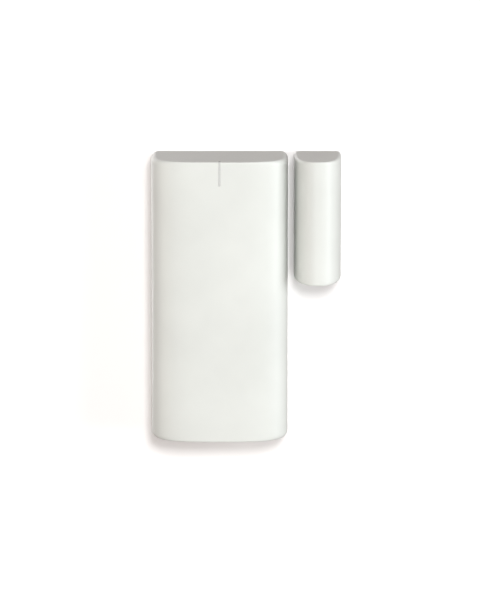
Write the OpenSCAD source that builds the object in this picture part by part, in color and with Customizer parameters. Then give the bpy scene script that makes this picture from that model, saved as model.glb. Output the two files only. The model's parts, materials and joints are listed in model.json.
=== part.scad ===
// Wireless door contact sensor with its magnet unit, in millimetres.
// Both housings stand upright against the wall plane y = 0 and face -Y.
// The origin is the centre of the sensor's wall face.

/* [Sensor housing] */
// Width of the sensor housing
sensor_w = 43.5; // [43.5:0.5:48]
// Height of the sensor housing
sensor_h = 91; // [90:1:100]
// Depth of the straight sides of the sensor cover
sensor_side_d = 7; // [6:0.5:8]
// Squareness of the sensor cover's domed front
sensor_crown = 3.5; // [3.3:0.1:4]
// Radius of the sensor housing's corners seen from the front
sensor_corner_r = 2.2; // [1.8:0.2:3]

/* [Magnet housing] */
// Width of the magnet housing
magnet_w = 15; // [15:0.5:18]
// Height of the magnet housing
magnet_h = 40; // [40:1:50]
// Depth of the straight sides of the magnet cover
magnet_side_d = 5; // [4:0.5:8]
// Squareness of the magnet cover's domed front
magnet_crown = 2.5; // [2.5:0.1:4]
// Radius of the magnet housing's corners seen from the front
magnet_corner_r = 1.4; // [1:0.2:2.4]
// Gap between the two housings with the door closed
unit_gap = 2; // [1:0.5:10]

/* [Both housings] */
// Depth of both housings from the wall
housing_d = 20; // [20:0.5:24]
// Thickness of the covers' walls
wall_t = 1.6; // [1.2:0.1:1.6]
// Thickness of the back plate and the magnet base
plate_t = 2; // [1.6:0.1:2]
// Gap between a cover and its plate
seam = 0.1; // [0.05:0.05:0.2]

/* [Fixing] */
// Diameter of the sensor's wall screw holes
wall_hole_d = 4.2; // [3.5:0.1:4.5]
// Distance between the sensor's wall screw holes
wall_hole_pitch = 76; // [76:1:78]
// Diameter of the magnet base's screw holes
base_hole_d = 3.6; // [3:0.1:3.8]
// Distance between the magnet base's screw holes
base_hole_pitch = 26; // [26:1:28]

/* [Light pipe] */
// Width of the light slit in the cover
slit_w = 0.7; // [0.5:0.1:1]
// Length of the light slit from the top edge
slit_l = 7.8; // [7:0.2:8]

/* [Power] */
// Diameter of a battery cell
cell_d = 10.5; // [10:0.1:10.5]
// Length of a battery cell with its positive tip
cell_l = 44.5; // [44:0.1:44.5]

/* [Hidden] */

$fn = 48;
eps = 0.01;
arc_steps = 8;
crown_steps = 56;

// Where the magnet unit stands: beside the sensor, tops level
magnet_x = sensor_w / 2 + unit_gap + magnet_w / 2;
magnet_z = (sensor_h - magnet_h) / 2;

// Rims that locate the covers
rim_gap = 0.2;
rim_t = 1.2;
rim_h = 3;
magnet_rim_t = 0.8;
inner_corner_r = 0.8;

// Clips on the rim that hold the sensor cover
clip_x = 10;
clip_w = 8;
clip_h = 3;
nib_t = 0.12;
nib_h = 0.6;

// Shallow pockets in the wall faces, between ribs that stay flush
pocket_d = 0.6;
pocket_w = 17;
pocket_l = 13.5;
pocket_x = 10.2;
pocket_pitch = 16;
knockout_r = 4;
knockout_wall = 0.5;
knockout_x = -12;
knockout_z = 38;

// Bosses round the wall screw holes
wall_hole_x = 13;
boss_r = 3.9;
boss_h = 1.2;

// Circuit board: height of its back over the wall plane, and its thickness
board_back = 6;
board_t = 1.6;
board_top = board_back + board_t;
board_left = -18.2;
board_right = 18.2;
board_step_z = 9.5;
board_top_z = 41.2;
board_bottom_z = -32;
upper_right = 7.5;
middle_top_z = 32;
strip_left = 6.4;
strip_top_z = 10;
post_r = 2.1;
post_points = [[-16, 39], [5, 38.8], [-16, 11.7], [16, -29.8]];
screw_r = 1;
screw_head_r = 1.9;
screw_head_h = 1.3;
screw_hole_gap = 0.2;
pilot_gap = 0.05;

// Battery tray and its two cells
tray_left = -18.5;
tray_bottom = -41.4;
tray_w = 24.2;
tray_l = 50;
tray_t = 1.2;
tray_floor = 4;
tray_wall_top = 12;
cell_left_x = tray_left + tray_t + 0.25 + cell_d / 2;
cell_right_x = cell_left_x + cell_d + 0.4;
cell_axis_h = tray_floor + tray_t + 0.15 + cell_d / 2;
tray_inner_low = tray_bottom + tray_t;
tray_inner_high = tray_bottom + tray_l - tray_t;
strip_metal_t = 0.4;
tip_l = 0.8;
spring_l = tray_inner_high - tray_inner_low - 2 * strip_metal_t - cell_l;

// Reed switch
reed_x = 16.4;
reed_z = 22;
reed_axis_h = board_top + 1.9;
reed_r = 1.2;
reed_l = 14;
reed_wire_r = 0.28;
reed_pivot = 5;

// Tamper switch, pressed by a post inside the cover
tamper_x = -1;
tamper_z = 30;
tamper_tip_h = 14.2;
tamper_gap = 0.2;

// Parts on the board: x and z of their middles
led_spot = [0, 39];
learn_spot = [-1, 20];
chip_spot = [9, 26];
crystal_spot = [9, 16.5];
radio_spot = [-11.5, 28.5];
radio_board_t = 0.8;
shield_spot = [-11.5, 27.5];
capacitor_spot = [-8.6, 15];
regulator_spot = [5, 12];
jumper_spot = [12.3, -13.5];
terminal_spot = [12.3, -22.25];
// Rows of chip resistors: x, z of the first one, and how many go down from it
chip_rows = [[3.2, 35.6, 6], [-16.8, 17.6, 2], [14.6, 12.4, 2], [8.4, -4, 2], [16.4, -6, 2]];
chip_pitch = 2.4;
pin_pitch = 2.54;
way_pitch = 3.6;

// Coil antenna
coil_x = 12.3;
coil_low = -8;
coil_r = 2.5;
coil_l = 18;
coil_wire = 0.7;

// Bar magnet in the magnet unit
bar_w = 6;
bar_l = 18;
bar_floor = 8;
cheek_t = 1;
cheek_top = bar_floor + 3;
foam_w = 4;
foam_t = 2.6;

// Places children at a point of the wall plane, with local z pointing out of the wall
module out_from(x, z, h = 0) {
    translate([x, -h, z]) rotate([90, 0, 0]) children();
}

// The same, starting from the front of the circuit board
module on_board(spot) {
    out_from(spot[0], spot[1], board_top) children();
}

// A box centred on local x and y that starts at local z = 0
module block(w, l, h) {
    translate([-w / 2, -l / 2, 0]) cube([w, l, h]);
}

function corner(x, y, r, start) = [
    for (i = [0 : arc_steps])
        let (a = start + 90 * i / arc_steps) [x + r * cos(a), y + r * sin(a)]
];

function rounded_rect(w, l, r) = concat(
    corner(w / 2 - r, l / 2 - r, r, 0), corner(r - w / 2, l / 2 - r, r, 90),
    corner(r - w / 2, r - l / 2, r, 180), corner(w / 2 - r, r - l / 2, r, 270)
);

module rounded_block(w, l, r, h) {
    linear_extrude(height = h) polygon(rounded_rect(w, l, r));
}

// Domed section: straight sides, then a superelliptic front
function crown_section(w, back, side, d, power) = concat(
    [[w / 2, -back]],
    [for (i = [0 : crown_steps])
        let (a = 180 * i / crown_steps)
            [sign(cos(a)) * w / 2 * pow(abs(cos(a)), 2 / power),
             -side - (d - side) * pow(sin(a), 2 / power)]],
    [[-w / 2, -back]]
);

module domed_block(w, l, back, side, d, power, r) {
    intersection() {
        translate([0, 0, -l / 2 - 1])
            linear_extrude(height = l + 2) polygon(crown_section(w, back, side, d, power));
        rotate([90, 0, 0]) rounded_block(w + eps, l, r, d + 1);
    }
}

// Shell that is open at the back
module cover_shell(w, l, side, power, r) {
    difference() {
        domed_block(w, l, plate_t + seam, side, housing_d, power, r);
        domed_block(w - 2 * wall_t, l - 2 * wall_t, 0, side, housing_d - wall_t, power, inner_corner_r);
    }
}

// Flat plate with a low rim that stands inside its cover
module rimmed_plate(w, l, r, t) {
    rim_w = w - 2 * (wall_t + rim_gap);
    rim_l = l - 2 * (wall_t + rim_gap);
    rounded_block(w, l, r, plate_t);
    difference() {
        rounded_block(rim_w, rim_l, 1, plate_t + rim_h);
        rounded_block(rim_w - 2 * t, rim_l - 2 * t, 0.5, plate_t + rim_h + 1);
    }
}

// Spring clip with a low nib, standing on the rim at its outer face
module clip() {
    translate([0, -rim_t / 2, 0]) block(clip_w, rim_t, plate_t + rim_h + clip_h);
    translate([0, 0, plate_t + rim_h + clip_h - 1]) block(clip_w - 2, 2 * nib_t, nib_h);
}

module back_plate() {
    clip_z = sensor_h / 2 - wall_t - rim_gap;
    color("whitesmoke") rotate([90, 0, 0]) difference() {
        union() {
            rimmed_plate(sensor_w, sensor_h, sensor_corner_r, rim_t);
            for (x = [-clip_x, clip_x]) {
                translate([x, clip_z, 0]) clip();
                translate([x, -clip_z, 0]) rotate([0, 0, 180]) clip();
            }
            for (side = [-1, 1])
                translate([wall_hole_x, side * wall_hole_pitch / 2, 0])
                    cylinder(r = boss_r, h = plate_t + boss_h);
            for (p = post_points) translate([p[0], p[1], 0]) cylinder(r = post_r, h = board_back);
        }
        for (side = [-1, 1])
            translate([wall_hole_x, side * wall_hole_pitch / 2, -1])
                cylinder(d = wall_hole_d, h = plate_t + boss_h + 2);
        for (p = post_points)
            translate([p[0], p[1], plate_t]) cylinder(r = screw_r + pilot_gap, h = board_back);
        for (x = [-pocket_x, pocket_x], i = [-1.5 : 1.5])
            translate([x, i * pocket_pitch, -1]) rounded_block(pocket_w, pocket_l, 1.5, pocket_d + 1);
        for (side = [-1, 1]) translate([knockout_x, side * knockout_z, -1]) difference() {
            cylinder(r = knockout_r, h = pocket_d + 1);
            translate([0, 0, -1]) cylinder(r = knockout_r - knockout_wall, h = pocket_d + 3);
        }
    }
}

module front_cover() {
    color("white") {
        difference() {
            cover_shell(sensor_w, sensor_h, sensor_side_d, sensor_crown, sensor_corner_r);
            translate([-slit_w / 2, -housing_d - 1, sensor_h / 2 - slit_l])
                cube([slit_w, 4, slit_l + 1]);
        }
        out_from(tamper_x, tamper_z, tamper_tip_h + tamper_gap)
            cylinder(r = 2, h = housing_d - wall_t - tamper_tip_h - tamper_gap + 0.6);
    }
}

module light_pipe() {
    blade_w = slit_w - 0.1;
    guide_front = housing_d - wall_t - 0.05;
    color("gainsboro") {
        intersection() {
            domed_block(sensor_w, sensor_h, plate_t, sensor_side_d, housing_d, sensor_crown, sensor_corner_r);
            translate([-blade_w / 2, -housing_d - 1, sensor_h / 2 - slit_l + 0.05])
                cube([blade_w, wall_t + 1.4, slit_l]);
        }
        out_from(led_spot[0], led_spot[1] + 0.6, guide_front - 1.5) block(2.4, 6, 1.5);
        out_from(led_spot[0], led_spot[1], board_top + 2.6)
            block(2.2, 2.8, guide_front - board_top - 2.8);
    }
}

module status_led() {
    color("palegreen") on_board(led_spot) {
        block(3.2, 1.6, 0.8);
        intersection() {
            translate([0, 0, 0.6]) sphere(r = 0.75);
            block(3, 3, 2);
        }
    }
}

module circuit_board() {
    color("seagreen") rotate([90, 0, 0]) translate([0, 0, board_back]) difference() {
        union() {
            translate([board_left, board_step_z, 0])
                cube([upper_right - board_left, board_top_z - board_step_z, board_t]);
            translate([board_left, board_step_z, 0])
                cube([board_right - board_left, middle_top_z - board_step_z, board_t]);
            translate([strip_left, board_bottom_z, 0])
                cube([board_right - strip_left, strip_top_z - board_bottom_z, board_t]);
        }
        for (p = post_points)
            translate([p[0], p[1], -1]) cylinder(r = screw_r + screw_hole_gap, h = board_t + 2);
    }
}

module board_screws() {
    thread_l = 3.4;
    color("silver") for (p = post_points) on_board(p) difference() {
        union() {
            cylinder(r = screw_head_r, h = screw_head_h);
            translate([0, 0, -board_t - thread_l]) cylinder(r = screw_r, h = board_t + thread_l + 0.2);
        }
        translate([0, 0, screw_head_h - 0.5]) {
            block(2.6, 0.5, 1);
            block(0.5, 2.6, 1);
        }
    }
}

// Round bar along the long axis, at a height over the wall plane
module upright_bar(x, z, h, r, l) {
    translate([x, -h, z]) cylinder(r = r, h = l);
}

module reed_glass() {
    bore_r = 0.85;
    color("lightcyan", 0.5) difference() {
        union() {
            upright_bar(reed_x, reed_z - reed_l / 2 + reed_r, reed_axis_h, reed_r, reed_l - 2 * reed_r);
            for (side = [-1, 1])
                translate([reed_x, -reed_axis_h, reed_z + side * (reed_l / 2 - reed_r)]) sphere(r = reed_r);
        }
        upright_bar(reed_x, reed_z - reed_l / 2 + 1.6, reed_axis_h, bore_r, reed_l - 3.2);
        upright_bar(reed_x, reed_z - reed_l, reed_axis_h, reed_wire_r + 0.02, 2 * reed_l);
    }
}

// Wire from the glass to its solder pad; side is 1 for the upper one
module reed_wire(side) {
    wire_l = 4;
    far = reed_z + side * (reed_pivot + wire_l);
    near = reed_z + side * reed_pivot;
    upright_bar(reed_x, min(far, near), reed_axis_h, reed_wire_r, wire_l);
    out_from(reed_x, far, board_top) cylinder(r = reed_wire_r, h = reed_axis_h - board_top);
    translate([reed_x, -reed_axis_h, far]) sphere(r = reed_wire_r);
}

module reed_fixed_blade() {
    color("silver") {
        reed_wire(-1);
        translate([reed_x - 0.5, -reed_axis_h + 0.04, reed_z - reed_pivot - 0.2])
            cube([1, 0.2, reed_pivot + 1]);
    }
}

module reed_upper_lead() {
    color("silver") reed_wire(1);
}

module reed_moving_blade() {
    color("silver")
        translate([reed_x - 0.5, -reed_axis_h - 0.24, reed_z - 0.8])
            cube([1, 0.2, reed_pivot + 0.6]);
}

module tamper_body() {
    color("dimgray") on_board([tamper_x, tamper_z]) difference() {
        block(6, 6, 4.2);
        translate([0, 0, 0.3]) cylinder(r = 2.4, h = 3.3);
        cylinder(r = 1.65, h = 5);
    }
}

module tamper_plunger() {
    color("ivory") out_from(tamper_x, tamper_z, board_top + 1.6) {
        cylinder(r = 2.2, h = 0.8);
        cylinder(r = 1.5, h = tamper_tip_h - board_top - 1.6);
    }
}

module tamper_spring() {
    color("silver") on_board([tamper_x, tamper_z]) translate([0, 0, 0.35]) difference() {
        cylinder(r = 1.9, h = 1.15);
        translate([0, 0, -1]) cylinder(r = 1.5, h = 4);
    }
}

module learn_body() {
    color("dimgray") on_board(learn_spot) {
        difference() {
            block(6, 6, 3.5);
            translate([0, 0, 0.6]) cylinder(r = 2.4, h = 2.1);
            translate([0, 0, 0.6]) cylinder(r = 1.85, h = 4);
        }
        for (side = [-1, 1], end = [-1, 1])
            translate([side * 3.5, end * 2.25, 0]) block(1.2, 0.7, 0.4);
    }
}

module learn_cap() {
    color("black") on_board(learn_spot) {
        translate([0, 0, 1.6]) cylinder(r = 2.2, h = 0.7);
        translate([0, 0, 1.6]) cylinder(r = 1.7, h = 3.4);
    }
}

module microcontroller() {
    leg_pitch = 0.8;
    color("black") on_board(chip_spot) {
        translate([0, 0, 0.15]) block(7, 7, 1.2);
        for (turn = [0 : 90 : 270], i = [-3.5 : 3.5])
            rotate([0, 0, turn]) translate([i * leg_pitch, 3.9, 0]) block(0.35, 1.2, 0.4);
    }
}

module crystal() {
    color("silver") on_board(crystal_spot) {
        rounded_block(11, 4.6, 2.2, 0.5);
        rounded_block(10.2, 3.8, 1.8, 3.5);
    }
}

module radio_board() {
    color("darkgreen") on_board(radio_spot) {
        block(12, 15, radio_board_t);
        for (side = [-1, 1], i = [-2 : 2]) translate([side * 6.1, i * pin_pitch, 0]) block(0.6, 1, 1);
    }
}

module radio_chip() {
    color("black") on_board(shield_spot) translate([0, 0, radio_board_t]) block(4, 4, 0.9);
}

module shield_can() {
    color("silver") on_board(shield_spot) translate([0, 0, radio_board_t]) difference() {
        rounded_block(10, 11, 0.6, 2.2);
        translate([0, 0, -1]) rounded_block(9.4, 10.4, 0.4, 2.9);
    }
}

module antenna_coil() {
    coil_h = board_top + coil_r + 0.5;
    color("goldenrod") {
        difference() {
            upright_bar(coil_x, coil_low, coil_h, coil_r, coil_l);
            upright_bar(coil_x, coil_low - 1, coil_h, coil_r - coil_wire, coil_l + 2);
        }
        out_from(coil_x, coil_low + 0.5, board_top) cylinder(r = coil_wire / 2, h = 1);
    }
}

module storage_capacitor() {
    can_r = 2.5;
    color("midnightblue") on_board(capacitor_spot) rotate_extrude() polygon([
        [0, 0], [can_r - 0.1, 0], [can_r - 0.1, 0.8], [can_r - 0.4, 1], [can_r, 1.4],
        [can_r, 6.7], [can_r - 0.3, 7], [0, 7]
    ]);
}

module regulator() {
    color("black") on_board(regulator_spot) {
        block(4.5, 2.5, 1.5);
        for (i = [-1 : 1]) translate([i * 1.5, -1.6, 0]) block(0.5, 1, 0.4);
    }
}

module chip_parts() {
    color("tan") for (row = chip_rows, i = [0 : row[2] - 1])
        on_board([row[0], row[1] - chip_pitch * i]) block(2, 1.2, 0.6);
}

module jumper_pins() {
    color("gold") on_board(jumper_spot) {
        block(3 * pin_pitch, 2.4, 2.4);
        for (i = [-1 : 1]) translate([i * pin_pitch, 0, 0]) block(0.64, 0.64, 8);
    }
}

module jumper_cap() {
    color("royalblue") on_board(jumper_spot) translate([-pin_pitch / 2, 0, 2.5]) difference() {
        block(4.9, 2.4, 6.2);
        for (side = [-1, 1])
            translate([side * pin_pitch / 2, 0, -1]) block(0.8, 0.8, 6.8);
    }
}

module terminal_ways() {
    for (side = [-1, 1]) translate([side * way_pitch / 2, 0, 0]) children();
}

module terminal_block() {
    color("forestgreen") on_board(terminal_spot) difference() {
        block(7.6, 7.5, 8);
        terminal_ways() {
            translate([0, 0, 1]) block(3, 5, 4.2);
            translate([0, 0, 2]) cylinder(r = 1.5, h = 7);
            translate([0, 0, 3]) rotate([90, 0, 0]) cylinder(r = 1.1, h = 5);
        }
    }
}

module terminal_clamps() {
    color("gold") on_board(terminal_spot) terminal_ways() translate([0, 0, 1.1]) difference() {
        block(2.8, 4.8, 4);
        translate([0, 3, 1.9]) rotate([90, 0, 0]) cylinder(r = 1, h = 6);
        translate([0, 0, 1.9]) cylinder(r = 0.85, h = 3);
    }
}

module terminal_screws() {
    color("silver") on_board(terminal_spot) terminal_ways() difference() {
        union() {
            translate([0, 0, 5.4]) cylinder(r = 1.4, h = 1.3);
            translate([0, 0, 4]) cylinder(r = 0.8, h = 1.5);
        }
        translate([0, 0, 6.2]) block(3, 0.5, 1);
    }
}

module battery_tray() {
    mid_x = tray_left + tray_w / 2;
    mid_z = tray_bottom + tray_l / 2;
    color("gray") difference() {
        union() {
            difference() {
                out_from(mid_x, mid_z, tray_floor) block(tray_w, tray_l, tray_wall_top - tray_floor);
                out_from(mid_x, mid_z, tray_floor + tray_t)
                    block(tray_w - 2 * tray_t, tray_l - 2 * tray_t, tray_wall_top);
            }
            for (z = [-32, -16, 0])
                out_from(mid_x, z, tray_floor) block(tray_w - 1, 1.2, 4);
            for (x = [-1, 1], z = [-1, 1])
                out_from(mid_x + x * (tray_w / 2 - 2), mid_z + z * (tray_l / 2 - 2), plate_t)
                    block(3, 3, tray_floor - plate_t + 0.5);
        }
        for (x = [cell_left_x, cell_right_x]) {
            upright_bar(x, tray_inner_low + 0.5, cell_axis_h, cell_d / 2 + 0.15, tray_l - 2 * tray_t - 1);
            out_from(x, tray_inner_high + 0.5, board_top - 0.1) block(3.2, 4, 0.6);
        }
    }
}

// Battery cell standing on its flat end
module cell() {
    r = cell_d / 2;
    rotate_extrude() polygon([
        [0, 0], [r - 0.8, 0], [r - 0.4, 0.3], [r, 0.7], [r, cell_l - tip_l - 0.6],
        [r - 0.5, cell_l - tip_l], [1.9, cell_l - tip_l], [1.9, cell_l - 0.2], [1.7, cell_l], [0, cell_l]
    ]);
}

module cell_left() {
    color("seagreen")
        translate([cell_left_x, -cell_axis_h, tray_inner_low + strip_metal_t + spring_l]) cell();
}

module cell_right() {
    color("seagreen")
        translate([cell_right_x, -cell_axis_h, tray_inner_high - strip_metal_t - spring_l])
            rotate([180, 0, 0]) cell();
}

// Envelope of a tapered coil spring
module tapered_spring() {
    difference() {
        cylinder(r1 = 3.6, r2 = 2.4, h = spring_l);
        translate([0, 0, -eps]) cylinder(r1 = 3, r2 = 1.8, h = spring_l + 2 * eps);
    }
}

module battery_springs() {
    color("silver") {
        translate([cell_left_x, -cell_axis_h, tray_inner_low + strip_metal_t]) tapered_spring();
        translate([cell_right_x, -cell_axis_h, tray_inner_high - strip_metal_t])
            rotate([180, 0, 0]) tapered_spring();
    }
}

// Contact plate at the tray's upper end, with a tab soldered to the board
module end_plate(x) {
    out_from(x, tray_inner_high - strip_metal_t / 2, tray_floor + tray_t) block(9, strip_metal_t, 9);
    out_from(x, tray_inner_high + 1.8, board_top) block(3, 4.2, strip_metal_t);
}

module positive_plate() {
    color("silver") end_plate(cell_left_x);
}

module negative_plate() {
    color("silver") end_plate(cell_right_x);
}

module link_plate() {
    color("silver")
        out_from((cell_left_x + cell_right_x) / 2, tray_inner_low + strip_metal_t / 2,
                 tray_floor + tray_t)
            block(20, strip_metal_t, 9);
}

module magnet_base() {
    color("whitesmoke") out_from(magnet_x, magnet_z) difference() {
        union() {
            rimmed_plate(magnet_w, magnet_h, magnet_corner_r, magnet_rim_t);
            for (side = [-1, 1]) {
                translate([side * (bar_w + cheek_t) / 2, 0, 0]) block(cheek_t, bar_l, cheek_top);
                translate([0, side * 5, 0]) block(bar_w + 0.2, 1.5, bar_floor);
                translate([0, side * (bar_l + cheek_t) / 2, 0])
                    block(bar_w + 2 * cheek_t, cheek_t, cheek_top);
            }
        }
        for (side = [-1, 1])
            translate([0, side * base_hole_pitch / 2, -1]) cylinder(d = base_hole_d, h = plate_t + 2);
        for (side = [-1, 1])
            translate([0, side * 5, -1]) rounded_block(9, 7, 1, pocket_d + 1);
    }
}

module magnet_cover() {
    color("white") translate([magnet_x, 0, magnet_z])
        cover_shell(magnet_w, magnet_h, magnet_side_d, magnet_crown, magnet_corner_r);
}

module bar_magnet() {
    color("dimgray") out_from(magnet_x, magnet_z, bar_floor) rounded_block(bar_w, bar_l, 0.4, bar_w);
}

module foam_strip() {
    color("slategray") out_from(magnet_x, magnet_z, bar_floor + bar_w) block(foam_w, bar_l - 2, foam_t);
}

back_plate();
front_cover();
light_pipe();
status_led();
circuit_board();
board_screws();
reed_glass();
reed_fixed_blade();
reed_upper_lead();
reed_moving_blade();
tamper_body();
tamper_plunger();
tamper_spring();
learn_body();
learn_cap();
microcontroller();
crystal();
radio_board();
radio_chip();
shield_can();
antenna_coil();
storage_capacitor();
regulator();
chip_parts();
jumper_pins();
jumper_cap();
terminal_block();
terminal_clamps();
terminal_screws();
battery_tray();
cell_left();
cell_right();
battery_springs();
positive_plate();
negative_plate();
link_plate();
magnet_base();
magnet_cover();
bar_magnet();
foam_strip();
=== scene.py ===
"""Looks of a wireless door contact sensor and its magnet unit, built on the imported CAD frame."""

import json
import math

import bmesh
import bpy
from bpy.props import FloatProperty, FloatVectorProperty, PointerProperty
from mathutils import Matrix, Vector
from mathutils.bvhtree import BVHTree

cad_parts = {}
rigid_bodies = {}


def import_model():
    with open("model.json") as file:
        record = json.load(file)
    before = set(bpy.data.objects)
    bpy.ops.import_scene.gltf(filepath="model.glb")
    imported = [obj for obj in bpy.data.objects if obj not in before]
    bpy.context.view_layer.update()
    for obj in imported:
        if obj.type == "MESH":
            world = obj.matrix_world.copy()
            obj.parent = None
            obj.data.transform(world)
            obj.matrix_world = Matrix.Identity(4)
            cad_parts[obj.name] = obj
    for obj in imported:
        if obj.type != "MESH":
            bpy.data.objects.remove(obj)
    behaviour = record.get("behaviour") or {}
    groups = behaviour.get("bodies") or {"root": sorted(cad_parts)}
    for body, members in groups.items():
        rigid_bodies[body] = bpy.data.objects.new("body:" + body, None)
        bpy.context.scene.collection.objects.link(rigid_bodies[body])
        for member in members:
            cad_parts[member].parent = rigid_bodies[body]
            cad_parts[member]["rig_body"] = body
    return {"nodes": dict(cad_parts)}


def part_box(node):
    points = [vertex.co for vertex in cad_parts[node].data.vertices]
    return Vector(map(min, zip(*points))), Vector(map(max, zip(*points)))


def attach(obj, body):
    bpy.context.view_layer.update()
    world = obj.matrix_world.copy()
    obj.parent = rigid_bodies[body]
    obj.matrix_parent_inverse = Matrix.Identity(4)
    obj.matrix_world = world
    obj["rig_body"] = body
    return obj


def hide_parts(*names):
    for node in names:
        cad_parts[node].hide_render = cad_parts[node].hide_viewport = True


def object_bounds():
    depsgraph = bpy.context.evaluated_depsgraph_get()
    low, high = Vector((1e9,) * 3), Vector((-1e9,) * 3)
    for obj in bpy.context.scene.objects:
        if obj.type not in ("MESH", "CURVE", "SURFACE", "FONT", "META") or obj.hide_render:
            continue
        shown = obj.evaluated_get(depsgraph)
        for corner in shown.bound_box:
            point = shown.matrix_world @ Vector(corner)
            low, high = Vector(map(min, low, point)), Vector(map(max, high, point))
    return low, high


bl_info = {
    "name": "Door Contact Sensor",
    "version": (1, 0, 0),
    "blender": (4, 5, 0),
    "location": "3D View > Sidebar > Contact Sensor",
    "description": "Builds the visible pieces of a door contact sensor and its magnet unit",
    "category": "Add Mesh",
}

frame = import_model()

CAD_LOW, CAD_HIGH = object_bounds()
MM = 0.001
RIGHT_ANGLE = math.radians(90)


# ---------------------------------------------------------------- boxes of the CAD nodes

def centre_of(node):
    """Middle of a CAD node's box."""
    low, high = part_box(node)
    return (low + high) / 2


# ---------------------------------------------------------------- sizes and colours

def length(name, description, default, **extra):
    """A length property; its default is in metres."""
    return FloatProperty(name=name, description=description, default=default, min=0.0,
                         precision=5, subtype="DISTANCE", unit="LENGTH", **extra)


def colour(name, description, default):
    """A linear colour property."""
    return FloatVectorProperty(name=name, description=description, default=default, size=3,
                               min=0.0, max=1.0, subtype="COLOR")


class HousingSizes(bpy.types.PropertyGroup):
    """Shape of the two domed covers."""

    wall: length("Wall", "Thickness of the covers' walls", 1.6 * MM)
    rim_radius: length("Rim radius", "Rounding where the dome meets the end faces", 0.35 * MM)
    sensor_side: length("Sensor side", "Depth of the sensor cover's straight sides", 7 * MM)
    sensor_corner: length("Sensor corner", "Corner radius of the sensor, seen from the front", 1.7 * MM)
    sensor_squareness: FloatProperty(name="Sensor squareness", default=3.5, min=2.0, max=6.0,
                                     description="Power of the sensor cover's domed section")
    magnet_side: length("Magnet side", "Depth of the magnet cover's straight sides", 5 * MM)
    magnet_corner: length("Magnet corner", "Corner radius of the magnet unit, seen from the front", 1.1 * MM)
    magnet_squareness: FloatProperty(name="Magnet squareness", default=2.5, min=2.0, max=6.0,
                                     description="Power of the magnet cover's domed section")
    slit_width: length("Slit width", "Width of the light slit in the sensor cover", 0.64 * MM)
    slit_length: length("Slit length", "Length of the light slit from the top edge", 7.8 * MM)
    edge: length("Edge", "Rounding of the small moulded edges", 0.18 * MM)


class FinishColours(bpy.types.PropertyGroup):
    """Base colours of the finishes."""

    cover: colour("Cover", "White moulding of both covers", (0.70, 0.735, 0.708))
    plate: colour("Plate", "White moulding of the back plate and the magnet base", (0.69, 0.71, 0.69))
    mask: colour("Solder mask", "Green coating of the boards", (0.012, 0.13, 0.055))
    tray: colour("Tray", "Dark moulding of the battery tray", (0.03, 0.031, 0.034))
    wrap: colour("Cell wrap", "Film round the battery cells", (0.02, 0.075, 0.11))
    terminal: colour("Terminal", "Moulding of the terminal block", (0.025, 0.2, 0.07))
    jumper: colour("Jumper", "Moulding of the jumper cap", (0.02, 0.06, 0.32))
    floor: colour("Floor", "Pale floor and backdrop", (0.98, 0.98, 0.98))


class StudioSettings(bpy.types.PropertyGroup):
    """Camera and lights."""

    distance: length("Distance", "From the camera to the front of the housings", 1.6)
    elevation: FloatProperty(name="Elevation", default=math.radians(12.2), subtype="ANGLE",
                             description="Height of the camera over the horizon")
    view_height: length("View height", "Height of the camera's view at that distance", 0.1906)
    aim: FloatVectorProperty(name="Aim", default=(6.5 * MM, CAD_LOW.y, 1.05 * MM), size=3,
                             subtype="TRANSLATION", unit="LENGTH",
                             description="Point at the middle of the camera's view")
    key_power: FloatProperty(name="Key light", default=7.7, min=0.0, unit="POWER",
                             description="Power of the front light, above the camera")
    side_power: FloatProperty(name="Side light", default=7.0, min=0.0, unit="POWER",
                              description="Power of the light from the right")
    fill_power: FloatProperty(name="Fill light", default=2.9, min=0.0, unit="POWER",
                              description="Power of the weak light from the left")
    back_power: FloatProperty(name="Back light", default=5.0, min=0.0, unit="POWER",
                              description="Power of the light behind the wall plane")
    world_strength: FloatProperty(name="World", default=0.4, min=0.0,
                                  description="Strength of the even light from all round")


# ---------------------------------------------------------------- nodes as sums

class Wire:
    """A node's output that can be used in Python sums."""

    def __init__(self, board, socket):
        self.board = board
        self.socket = socket

    def maths(self, operation, *values):
        """One Math node on these values."""
        return self.board.add("ShaderNodeMath", {"operation": operation}, dict(enumerate(values)))

    def other(self, name):
        """Another output of the same node."""
        return Wire(self.board, self.socket.node.outputs[name])

    def __add__(self, value):
        return self.maths("ADD", self, value)

    def __sub__(self, value):
        return self.maths("SUBTRACT", self, value)

    def __rsub__(self, value):
        return self.maths("SUBTRACT", value, self)

    def __mul__(self, value):
        return self.maths("MULTIPLY", self, value)

    def __truediv__(self, value):
        return self.maths("DIVIDE", self, value)

    def __rtruediv__(self, value):
        return self.maths("DIVIDE", value, self)

    def __pow__(self, value):
        return self.maths("POWER", self, value)

    def __abs__(self):
        return self.maths("ABSOLUTE", self)

    __radd__ = __add__
    __rmul__ = __mul__

    def sine(self):
        """Sine of an angle in radians."""
        return self.maths("SINE", self)

    def cosine(self):
        """Cosine of an angle in radians."""
        return self.maths("COSINE", self)

    def sign(self):
        """-1, 0 or 1."""
        return self.maths("SIGN", self)

    def at_least(self, value):
        """The larger of this and a value."""
        return self.maths("MAXIMUM", self, value)

    def over(self, value):
        """1 where this is greater than a value, else 0."""
        return self.maths("GREATER_THAN", self, value)

    def ramp(self, low, high):
        """0 below low, 1 above high, even in between."""
        return self.board.add("ShaderNodeMapRange", {"clamp": True},
                              {"Value": self, "From Min": low, "From Max": high})


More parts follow.
